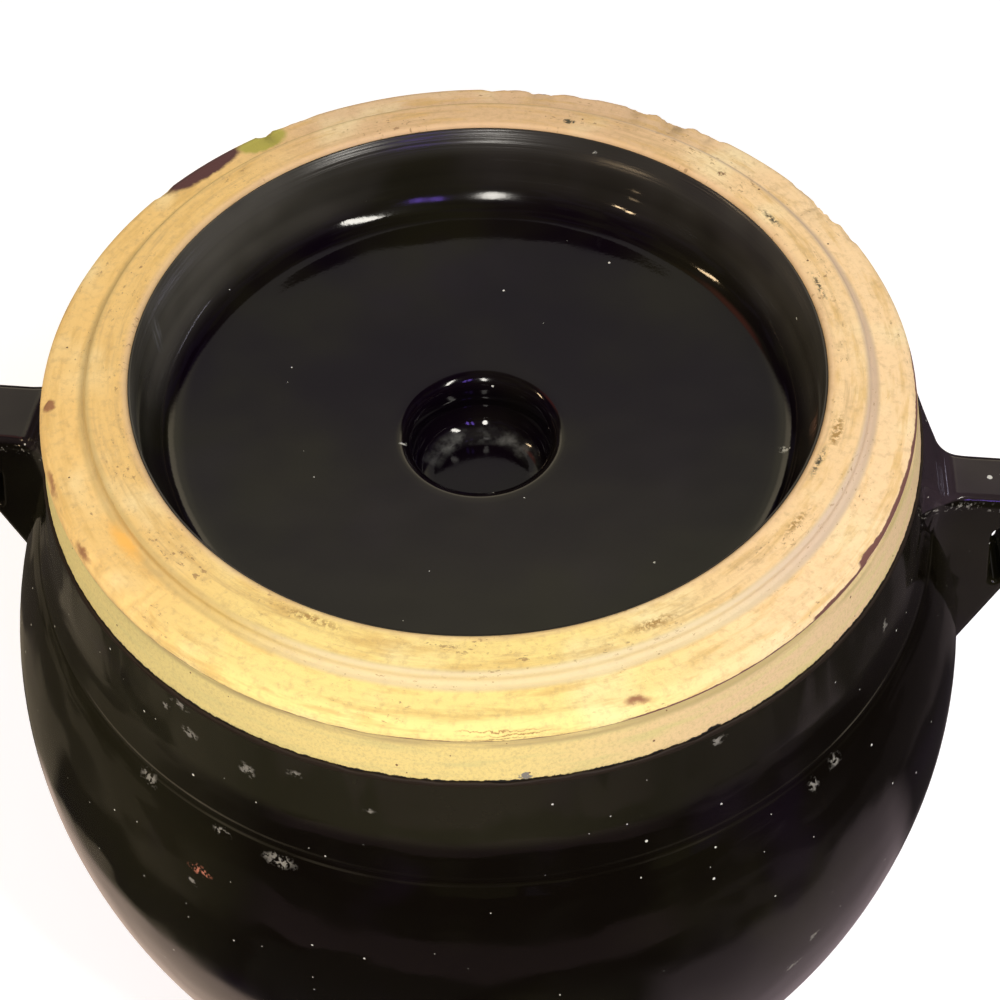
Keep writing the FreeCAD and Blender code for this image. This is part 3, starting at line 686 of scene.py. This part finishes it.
def slip_glaze(name, pins, base=None, worn=(), sway_depth=0.0004, middle=0.0, ringed=None):
    """Gloss over near-black, with white pinholes, of which pins is the share that shows.

    Base gives the colour under the clouds. Worn gives places, colours and roughness, for wear and
    for painted highlights and sheen alike. Ringed says where fine rings from the throwing show
    through.
    """
    glaze = Finish(name, middle)
    colour = glaze.layers(
        base(glaze) if base else GLAZE_BLACK,
        (glaze.fade(glaze.noise(0.05), 0.45, 0.7, 0.0, 0.8), GLAZE_OLIVE),
        (glaze.fade(glaze.noise(0.03, 2.0), 0.55, 0.75, 0.0, 0.6), GLAZE_PLUM),
    )
    gloss = glaze.fade(glaze.noise(0.02, 4.0), 0.4, 0.75, 0.06, 0.14)
    for place, ink, rough in worn:
        factor = place(glaze)
        colour = glaze.mix(factor, colour, ink)
        gloss = glaze.maths("MAXIMUM", gloss, glaze.both(factor, rough))
    pinholes = glaze.specks(PIN_SPACING, PIN_SIZE, pins)
    colour = glaze.mix(pinholes, colour, PIN_WHITE)
    hollows = glaze.bump(glaze.maths("SUBTRACT", 1.0, pinholes), 0.00005)
    sway = glaze.bump(glaze.noise(0.018, 1.0), sway_depth, hollows)
    if ringed:
        lines = glaze.both(glaze.streaks(0.09, 0.0011, 2.0), ringed(glaze))
        sway = glaze.bump(lines, 0.00016, sway)
    skin = glaze.bump(glaze.noise(0.0008, 2.0), 0.000007, sway)
    return glaze.finish(Base_Color=colour, Roughness=gloss, Normal=skin, IOR=1.33)


def pot_base(glaze):
    """Greener and greyer on the neck, nearly black on the belly."""
    neck = glaze.fade(glaze.height, CREASE + 0.006, CREASE + 0.010)
    less_right = glaze.fade(glaze.east, 0.1, 0.7, 0.9, 0.25)
    left = glaze.both(glaze.sector(-215, -130, 25), 0.7)
    return glaze.layers(
        GLAZE_BLACK,
        (glaze.both(neck, less_right), GLAZE_GREEN),
        (left, GLAZE_GREEN),
    )


def thin_edge(glaze):
    """The coat's upper edge, where it ran out thin and dry."""
    return glaze.fade(glaze.height, GLAZE_LINE - 0.0012, GLAZE_LINE - 0.0005)


def crease_break_and_glint(glaze):
    """The two edges of the turned groove: partly glaze that ran thin, partly painted highlight
    where light glints on them, most at the left and the right.
    """
    upper = glaze.stripe(glaze.height, CREASE + 0.0006, 0.0001, 0.0002)
    lower = glaze.both(glaze.stripe(glaze.height, CREASE - 0.0009, 0.0001, 0.0002), 0.4)
    ends = glaze.either(glaze.sector(-200, -105, 12), glaze.sector(-62, 20, 12))
    patchy = glaze.fade(glaze.streaks(0.03, 0.004), 0.45, 0.66, 0.1, 1.0)
    return glaze.both(glaze.either(upper, lower), patchy, glaze.fade(ends, 0.0, 1.0, 0.15, 1.0))


def painted_red_highlight(glaze):
    """A short red-brown highlight on the shoulder, painted as broken speckles."""
    loose = glaze.ragged(0.0012, 0.0008)
    streak = glaze.patch(loose, -116, 0.104, 0.1300, 0.0036, 0.003, 0.0015, 0.8)
    return glaze.both(streak, glaze.fade(glaze.noise(0.0006, 2.0), 0.5, 0.58))


def pot_scuffs(glaze):
    """The flaked places on the neck, the shoulder and the belly."""
    places = [
        (bearing, coat_reach(height), height, along, SCUFF_DEPTH, tall)
        for bearing, height, along, tall in POT_SCUFFS
    ]
    return scuffs(glaze, places)


# Wear on the pot's coat, with painted highlights: the glints on the crease and a red one on the
# shoulder.
POT_WEAR_AND_HIGHLIGHTS = [
    (thin_edge, EDGE_BROWN, 0.65),
    (crease_break_and_glint, GLAZE_BROWN, 0.35),
    (pot_scuffs, FLAKE_AND_HIGHLIGHT_GREY, 0.6),
    (painted_red_highlight, PAINTED_RED_HIGHLIGHT, 0.4),
]
pot_glaze = slip_glaze("pot_glaze", pins=0.5, base=pot_base, worn=POT_WEAR_AND_HIGHLIGHTS)
pot_coat.data.materials.append(pot_glaze)
dress(["glaze_inside"], slip_glaze("pot_lining_glaze", pins=0.1))


# ---------------------------------------------------------------------------------------------
# The lid's coats: the same slip glaze, poured over the dish and into the hollow of the knob, and
# over the dome on the other side. The dish's wall is greyer at its sides, which is a painted
# sheen, and dulled near the lip by dust and wear; pale streaks on it and an arc in the hollow
# are painted highlights.

DISH_PLUM = (0.0030, 0.0012, 0.0034)
DISH_WALL_SHEEN = (0.075, 0.070, 0.056)
DISH_DUST = (0.040, 0.038, 0.033)
PAINTED_HIGHLIGHT_GREY = (0.13, 0.13, 0.125)
PAINTED_HIGHLIGHT_WARM = (0.20, 0.12, 0.085)
HOLLOW_GREY = (0.085, 0.085, 0.075)

WALL_REACH = LIP - GLAZE_THICK
HOLLOW_REACH = 0.0163
HOLLOW_NECK = 0.0364
HOLLOW_DEPTH = 0.0424
bowl_radii = [reach * 0.001 for reach in range(20, 61, 2)]

# The lining's face from the hollow's floor up to the lip, then its back down again.
LINING_OUTLINE = [
    (0.0, HOLLOW_DEPTH, 0.0),
    (HOLLOW_REACH, HOLLOW_DEPTH, 0.0058),
    (HOLLOW_REACH, HOLLOW_NECK, 0.0020),
    (THROAT, 0.0324, 0.0),
    (THROAT, 0.0272, 0.0034),
    *dish_floor(bowl_radii, 0.0),
    (WALL_REACH, 0.0207, 0.0076),
    (WALL_REACH, 0.0010, 0.0),
    (LIP, 0.0010, 0.0),
    (LIP, 0.0211, 0.0073),
    *dish_floor((0.0600, 0.0486, 0.0347), GLAZE_THICK),
    (THROAT + GLAZE_THICK, 0.0277, 0.0018),
    (THROAT + GLAZE_THICK, 0.0324, 0.0),
    (HOLLOW_REACH + GLAZE_THICK, HOLLOW_NECK, 0.0020),
    (HOLLOW_REACH + GLAZE_THICK, HOLLOW_DEPTH + GLAZE_THICK, 0.0063),
    (0.0, HOLLOW_DEPTH + GLAZE_THICK, 0.0),
]
lining_shape = turned_shape(LINING_OUTLINE, RING_TOP, steps=360, middle=LID_MIDDLE)
dish_lining = finished_piece("dish_lining", lining_shape, "lid")
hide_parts("lid_glaze_dish")


def dish_base(glaze):
    """Plum black on the floor of the dish, greyer up its wall, most at the left and the right: a
    painted sheen.
    """
    wall = glaze.fade(glaze.height, RING_TOP - 0.0205, RING_TOP - 0.014)
    left = glaze.fade(glaze.east, -0.9, -0.3, 1.0, 0.28)
    right = glaze.fade(glaze.east, 0.3, 0.9, 0.28, 0.6)
    return glaze.layers(DISH_PLUM, (glaze.both(wall, glaze.either(left, right)), DISH_WALL_SHEEN))


def upper_wall(glaze):
    """The dish's wall near its lip."""
    return glaze.fade(glaze.height, RING_TOP - 0.0095, RING_TOP - 0.0065)


def wall_dulled(glaze):
    """The upper part of the wall, which dust and wear have dulled a little."""
    return glaze.both(upper_wall(glaze), 0.3)


def hollow_scuffs_and_highlight(glaze):
    """Fine scratches from fingertips on the floor of the knob's hollow, with a painted highlight in
    an arc round its far side.
    """
    floor = glaze.fade(glaze.height, RING_TOP - 0.040, RING_TOP - 0.036, 1.0, 0.0)
    behind = glaze.fade(glaze.north, -0.2, 0.6, 0.05, 1.0)
    cloudy = glaze.fade(glaze.noise(0.004, 3.0, 0.6), 0.4, 0.7, 0.1, 1.0)
    # Painted highlight: an arc round the far side of the hollow's floor.
    ring = glaze.stripe(glaze.radius, 0.0118, 0.0006, 0.0022)
    floor_height = RING_TOP - HOLLOW_DEPTH
    worn = glaze.patch(glaze.place, -95, 0.0060, floor_height, 0.0020, 0.0016, 0.003, 0.8)
    return glaze.both(floor, cloudy, glaze.either(glaze.both(behind, ring), worn))


def left_wall_painted_highlight(glaze):
    """A painted highlight: a pale streak down the left of the wall."""
    loose = glaze.ragged(0.003, 0.0010)
    streak = glaze.patch(loose, 175, WALL_REACH, RING_TOP - 0.010, 0.0030, 0.003, 0.0060, 0.9)
    return glaze.both(streak, glaze.fade(glaze.streaks(0.001, 0.008), 0.4, 0.65))


def right_wall_painted_highlight(glaze):
    """A painted highlight: a warm streak low on the right of the wall."""
    loose = glaze.ragged(0.003, 0.0010)
    streak = glaze.patch(loose, -3, 0.0690, RING_TOP - 0.014, 0.0055, 0.003, 0.0040, 0.9)
    return glaze.both(streak, glaze.fade(glaze.streaks(0.002, 0.008), 0.35, 0.6))


# Each scuff: bearing, radius and height, and half its length along, into and up the dish.
DISH_SCUFFS = [
    (-165, 0.0170, RING_TOP - 0.0274, 0.0008, 0.0015, 0.0012),
    (-4, 0.0640, RING_TOP - 0.0217, 0.0010, 0.0020, 0.0010),
    (74, 0.0680, RING_TOP - 0.0039, 0.0010, 0.0020, 0.0006),
]


def dish_scuffs(glaze):
    """The few flaked places inside the lid."""
    return scuffs(glaze, DISH_SCUFFS)


# Wear in the dish, with painted highlights: the streaks on its wall and the arc in the hollow.
DISH_WEAR_AND_HIGHLIGHTS = [
    (wall_dulled, DISH_DUST, 0.8),
    (hollow_scuffs_and_highlight, HOLLOW_GREY, 0.3),
    (left_wall_painted_highlight, PAINTED_HIGHLIGHT_GREY, 0.3),
    (right_wall_painted_highlight, PAINTED_HIGHLIGHT_WARM, 0.3),
    (dish_scuffs, PIN_WHITE, 0.6),
]
dish_glaze = slip_glaze(
    "dish_glaze",
    pins=0.12,
    base=dish_base,
    worn=DISH_WEAR_AND_HIGHLIGHTS,
    sway_depth=0.0002,
    middle=LID_MIDDLE,
    ringed=upper_wall,
)
dish_lining.data.materials.append(dish_glaze)
dress(["lid_glaze_top"], slip_glaze("dome_glaze", pins=0.3))


# ---------------------------------------------------------------------------------------------
# The two ear handles: pulled and pierced lumps of clay, luted to the neck and belly and dipped
# with the pot, so that the same glaze covers them, with more pits in it.

EAR_TOP_SHEEN = (0.030, 0.021, 0.025)
EAR_TOP = RIM - 0.025


def ear_base(glaze):
    """Paler lilac on the flat top of the ears, most on the right one: a painted sheen."""
    top = glaze.fade(glaze.height, EAR_TOP - 0.0010, EAR_TOP - 0.0002)
    more_right = glaze.fade(glaze.east, -1.0, 1.0, 0.4, 1.0)
    return glaze.layers(GLAZE_BLACK, (glaze.both(top, more_right), EAR_TOP_SHEEN))


def ear_pinhole(glaze):
    """One large pinhole on the top of the right ear."""
    return glaze.patch(glaze.place, 0, 0.1080, EAR_TOP, 0.0006, 0.0006, 0.002, 0.2)


def ear_ridge_highlight(glaze):
    """Speckled painted highlights along the front of the ears' upper edge."""
    edge = glaze.stripe(glaze.height, EAR_TOP - 0.0022, 0.0006, 0.0008)
    front = glaze.fade(glaze.deep, -0.004, -0.007)
    return glaze.both(edge, front, glaze.fade(glaze.noise(0.0012, 3.0, 0.6), 0.55, 0.66))


# The ears' marks: a painted highlight on the ridge, and one real pinhole.
EAR_HIGHLIGHT_AND_PINHOLE = [(ear_ridge_highlight, FLAKE_AND_HIGHLIGHT_GREY, 0.4), (ear_pinhole, PIN_WHITE, 0.5)]
ear_glaze = slip_glaze("handle_glaze", pins=0.7, base=ear_base, worn=EAR_HIGHLIGHT_AND_PINHOLE)
dress(["handle_left"], ear_glaze)

# The finger hole of the right ear is narrower at its inner side, where the clay was pushed in.
HOLE_INNER = 0.1070
HOLE_OUTER = 0.1168
HOLE_LOWER = 0.1235
HOLE_UPPER = 0.1452
HOLE_PUSH = 0.0026

ear_shape = bmesh.new()
ear_shape.from_mesh(nodes["handle_right"].data)
bmesh.ops.remove_doubles(ear_shape, verts=ear_shape.verts, dist=MERGE)
for vert in ear_shape.verts:
    place = vert.co
    if HOLE_INNER < place.x < HOLE_OUTER and HOLE_LOWER < place.z < HOLE_UPPER:
        place.x += HOLE_PUSH * (HOLE_OUTER - place.x) / (HOLE_OUTER - HOLE_INNER)
bmesh.ops.recalc_face_normals(ear_shape, faces=ear_shape.faces)
right_ear = finished_piece("right_ear", ear_shape, "pot")
right_ear.data.materials.append(ear_glaze)
right_ear.modifiers.new("even_shading", "WEIGHTED_NORMAL").weight = 100
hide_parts("handle_right")


# ---------------------------------------------------------------------------------------------
# The camera: it stands close in front of the pot, a little to its right, and looks down on the
# lid, so that the whole of the rim is in view and the ears are cut by the frame.

EYE = Vector((0.02771, -0.21227, 0.40162))
HEADING = 96.563
DOWNWARD = 51.775
LEAN = -1.157
SENSOR_WIDTH = 36.0
LENS = 54.32
SHIFT_UP = 0.00884


def toward(bearing, rise):
    """The direction that lies at a bearing and a rise above the floor, in degrees."""
    flat = math.cos(math.radians(rise))
    turn = math.radians(bearing)
    return Vector((math.cos(turn) * flat, math.sin(turn) * flat, math.sin(math.radians(rise))))


def camera_turn():
    """The camera's turn, from its right, upward and backward directions."""
    forward = toward(HEADING, -DOWNWARD)
    right = toward(HEADING - 90.0, 0.0)
    upward = right.cross(forward)
    lean = math.radians(LEAN)
    tilted_right = right * math.cos(lean) + upward * math.sin(lean)
    tilted_up = upward * math.cos(lean) - right * math.sin(lean)
    return Matrix((tilted_right, tilted_up, -forward)).transposed()


camera_data = bpy.data.cameras.new("studio_camera")
camera_data.sensor_width = SENSOR_WIDTH
camera_data.lens = LENS
camera_data.shift_y = SHIFT_UP
camera = bpy.data.objects.new("studio_camera", camera_data)
camera.matrix_world = Matrix.Translation(EYE) @ camera_turn().to_4x4()
bpy.context.collection.objects.link(camera)
bpy.context.scene.camera = camera


# ---------------------------------------------------------------------------------------------
# The lamps: small soft boxes and bulbs round the front and the sides, two of them violet, and two
# long low strips. They light the clay evenly, and each leaves one small highlight in the glaze.

LAMP_AIM = Vector((0.0, 0.0, 0.165))
LAMP_REACH = 1.2
WHITE = (1.0, 0.96, 0.88)
WARM = (1.0, 0.72, 0.42)
COOL = (0.80, 0.78, 1.0)
VIOLET = (0.30, 0.16, 1.0)

# Each lamp: its bearing and rise in degrees, its width and height, its brightness and colour.
LAMPS = {
    "right_box": (-36, 50, 0.115, 0.47, 47.5, WHITE),
    "front_box": (-90, 41, 0.12, 0.44, 48.5, WHITE),
    "left_bulb": (-130.5, 9.5, 0.06, 0.10, 60, WARM),
    "left_bulb_2": (-135, 12.5, 0.07, 0.12, 60, WARM),
    "side_lamp": (178, 45, 0.08, 0.20, 50, WARM),
    "violet_lamp": (-62, 38, 0.07, 0.30, 15, VIOLET),
    "violet_lamp_2": (-69, 42, 0.07, 0.30, 15, VIOLET),
    "low_strip": (26, 9.5, 0.55, 0.035, 12, COOL),
    "low_strip_2": (160, 9.5, 0.30, 0.03, 8, WARM),
}


def soft_lamp(name, bearing, rise, width, tall, brightness, colour):
    """A soft lamp of a given width and height that faces the lid from a bearing and a rise."""
    lamp = bpy.data.lights.new(name, "AREA")
    lamp.shape = "ELLIPSE"
    lamp.size = width
    lamp.size_y = tall
    lamp.energy = brightness * math.pi * width * tall * math.pi / 4
    lamp.color = colour
    stand = bpy.data.objects.new(name, lamp)
    stand.location = LAMP_AIM + toward(bearing, rise) * LAMP_REACH
    stand.rotation_euler = toward(bearing, rise).to_track_quat("Z", "Y").to_euler()
    stand.visible_camera = False
    bpy.context.collection.objects.link(stand)


for lamp_name, setting in LAMPS.items():
    soft_lamp(lamp_name, *setting)


# ---------------------------------------------------------------------------------------------
# The surroundings: a plain pale floor, and white all round where they are seen, though they give
# only a low, even light. The floor keeps the pot's shadow and is lifted to white further away.

FILL = 0.315
FLOOR_LIFT = 0.42
FLOOR_FAR = 0.70
LIFT_START = 0.35
LIFT_END = 2.2
FLOOR_GREY = (0.88, 0.88, 0.88)
FLOOR_SIZE = 6.0


def seen_directly(tree):
    """One for the rays that show the surroundings, in sight, in gloss or through glass."""
    path = tree.nodes.new("ShaderNodeLightPath")
    total = None
    for name in ("Is Camera Ray", "Is Glossy Ray", "Is Transmission Ray"):
        if total is None:
            total = path.outputs[name]
            continue
        highest = tree.nodes.new("ShaderNodeMath")
        highest.operation = "MAXIMUM"
        tree.links.new(total, highest.inputs[0])
        tree.links.new(path.outputs[name], highest.inputs[1])
        total = highest.outputs[0]
    return total


world = bpy.data.worlds.new("white_studio")
bpy.context.scene.world = world
world.use_nodes = True
sky = world.node_tree
sky.nodes.clear()


def plain_light(strength):
    """White light of one strength from all round."""
    light = sky.nodes.new("ShaderNodeBackground")
    light.inputs["Color"].default_value = (1.0, 1.0, 1.0, 1.0)
    light.inputs["Strength"].default_value = strength
    return light.outputs[0]


choice = sky.nodes.new("ShaderNodeMixShader")
sky.links.new(seen_directly(sky), choice.inputs[0])
sky.links.new(plain_light(FILL), choice.inputs[1])
sky.links.new(plain_light(1.0), choice.inputs[2])
sky.links.new(choice.outputs[0], sky.nodes.new("ShaderNodeOutputWorld").inputs["Surface"])


def stage_piece(name, shape, material):
    """Put a bmesh into the studio as a floor or a card."""
    mesh = bpy.data.meshes.new(name)
    shape.to_mesh(mesh)
    shape.free()
    mesh.materials.append(material)
    made = bpy.data.objects.new(name, mesh)
    bpy.context.collection.objects.link(made)
    return made


def floor_finish():
    """Matt and pale, lifted to white in sight, more so further away, where the lamps are weak."""
    pale = Finish("pale_floor")
    lift = pale.fade(pale.radius, LIFT_START, LIFT_END, FLOOR_LIFT, FLOOR_FAR)
    strength = pale.both(lift, seen_directly(pale.tree))
    glow = pale.node("ShaderNodeEmission", Color=(1.0, 1.0, 1.0), Strength=strength)
    body = pale.node("ShaderNodeBsdfDiffuse", Color=FLOOR_GREY)
    total = pale.node("ShaderNodeAddShader")
    pale.tree.links.new(body.outputs[0], total.inputs[0])
    pale.tree.links.new(glow.outputs[0], total.inputs[1])
    pale.tree.links.new(total.outputs[0], pale.tree.nodes["Material Output"].inputs["Surface"])
    return pale.material


ground = bmesh.new()
bmesh.ops.create_grid(ground, x_segments=1, y_segments=1, size=FLOOR_SIZE)
stage_piece("studio_floor", ground, floor_finish())


# ---------------------------------------------------------------------------------------------
# What the glaze mirrors: glowing cards that paint its reflections, of a dim room as a tent with a
# pale wall behind the pot and a red glow by it, and of a brown cloth round the foot. Both show in
# gloss alone and throw no light or shadow.

TENT = 1.8
CLOTH_INNER = 0.078
CLOTH_HEIGHT = 0.0006
CLOTH_BROWN = (0.19, 0.155, 0.11)
CLOTH_LILAC = (0.25, 0.20, 0.20)
CLOTH_PLUM = (0.19, 0.13, 0.14)
NEAR_MAUVE = (0.70, 0.53, 0.43)
NEAR_LILAC = (0.30, 0.235, 0.25)
FRONT_SHADE = (0.05, 0.045, 0.04)
DARK_ROOM = (0.012, 0.010, 0.013)
ROOM_OLIVE = (0.10, 0.095, 0.05)
ROOM_LILAC = (0.09, 0.075, 0.12)
RED_GLOW = (1.3, 0.34, 0.24)
WALL_DIM = (0.64, 0.60, 0.58)
WALL_PALE = (1.25, 1.15, 0.85)
WALL_LIT = (2.4, 2.1, 1.5)


def card_finish(name, colour_of):
    """A glowing finish for a card that shows in the glaze alone, at its own plain level: it paints
    the reflections there.
    """
    card = Finish(name)
    light = card.node("ShaderNodeEmission", Color=colour_of(card))
    output = card.tree.nodes["Material Output"]
    card.tree.links.new(light.outputs[0], output.inputs["Surface"])
    return card.material


def spun_card(name, profile, finish):
    """A card bent right round the pot, visible in the glaze alone."""
    shape = bmesh.new()
    corners = [shape.verts.new((reach, 0.0, height)) for reach, height in profile]
    edges = [shape.edges.new(pair) for pair in zip(corners, corners[1:])]
    bmesh.ops.spin(
        shape,
        geom=corners + edges,
        cent=(0, 0, 0),
        axis=(0, 0, 1),
        angle=math.tau,
        steps=72,
        use_merge=True,
    )
    card = stage_piece(name, shape, finish)
    for kind in ("camera", "diffuse", "shadow", "transmission", "volume_scatter"):
        setattr(card, "visible_" + kind, False)


def cloth_colour(card):
    """A brown cloth round the pot, lilac at the right, with dark folds, on a dark floor."""
    edge = card.maths("ADD", card.radius, card.noise(0.15, 1.0))
    swung = card.maths("MULTIPLY_ADD", card.noise(0.07, 2.0), 0.08, card.radius)
    left_fold = card.both(card.stripe(swung, 0.252, 0.034, 0.004), card.sector(-166, -124, 3))
    near_left = card.both(card.fade(swung, 0.195, 0.215, 1.0, 0.0), card.sector(-170, -108, 8))
    near_right = card.both(card.fade(swung, 0.270, 0.300, 1.0, 0.0), card.sector(-55, -12, 8))
    right_dark = card.both(card.fade(swung, 0.282, 0.300), card.sector(-64, 60, 12))
    front_band = card.both(card.stripe(swung, 0.385, 0.045, 0.008), card.sector(-118, -58, 10))
    return card.layers(
        CLOTH_BROWN,
        (card.fade(card.east, -0.3, 0.6), CLOTH_LILAC),
        (card.sector(-125, -60, 20), FRONT_SHADE),
        (card.fade(card.noise(0.12, 2.0), 0.49, 0.55, 0.0, 0.75), DARK_ROOM),
        (card.both(right_dark, 0.5), DARK_ROOM),
        (card.both(card.sector(-16, 60, 12), 0.7), DARK_ROOM),
        (near_left, NEAR_MAUVE),
        (near_right, NEAR_LILAC),
        (left_fold, DARK_ROOM),
        (front_band, CLOTH_PLUM),
        (card.fade(edge, 0.95, 1.15), DARK_ROOM),
    )


def room_colour(card):
    """The dim room, with a pale wall lit from below seen behind the pot and a red glow by it."""
    behind = card.both(card.sector(58, 132, 8), card.fade(card.height, 0.80, 0.86))
    wall = card.both(behind, card.fade(card.height, 1.68, 1.74, 1.0, 0.0))
    glow = card.patch(card.place, 144, 1.02, 1.49, 0.36, 0.36, 0.30, 0.9)
    wall_colour = card.layers(
        WALL_DIM,
        (card.fade(card.height, 1.50, 1.20), WALL_PALE),
        (card.fade(card.height, 1.14, 1.02), WALL_LIT),
    )
    return card.layers(
        DARK_ROOM,
        (card.fade(card.noise(0.5, 1.0), 0.52, 0.58), ROOM_OLIVE),
        (card.fade(card.noise(0.35, 1.0), 0.56, 0.62), ROOM_LILAC),
        (glow, RED_GLOW),
        (wall, wall_colour),
    )


rises = [math.radians(rise) for rise in range(0, 90, 5)]
dome = [(TENT * math.cos(rise), TENT * math.sin(rise)) for rise in rises] + [(0.0, TENT)]
spun_card("dark_tent", dome, card_finish("dark_tent", room_colour))
cloth = [(CLOTH_INNER, CLOTH_HEIGHT), (TENT, CLOTH_HEIGHT)]
spun_card("brown_cloth", cloth, card_finish("brown_cloth", cloth_colour))

bpy.context.scene.view_settings.view_transform = "Standard"
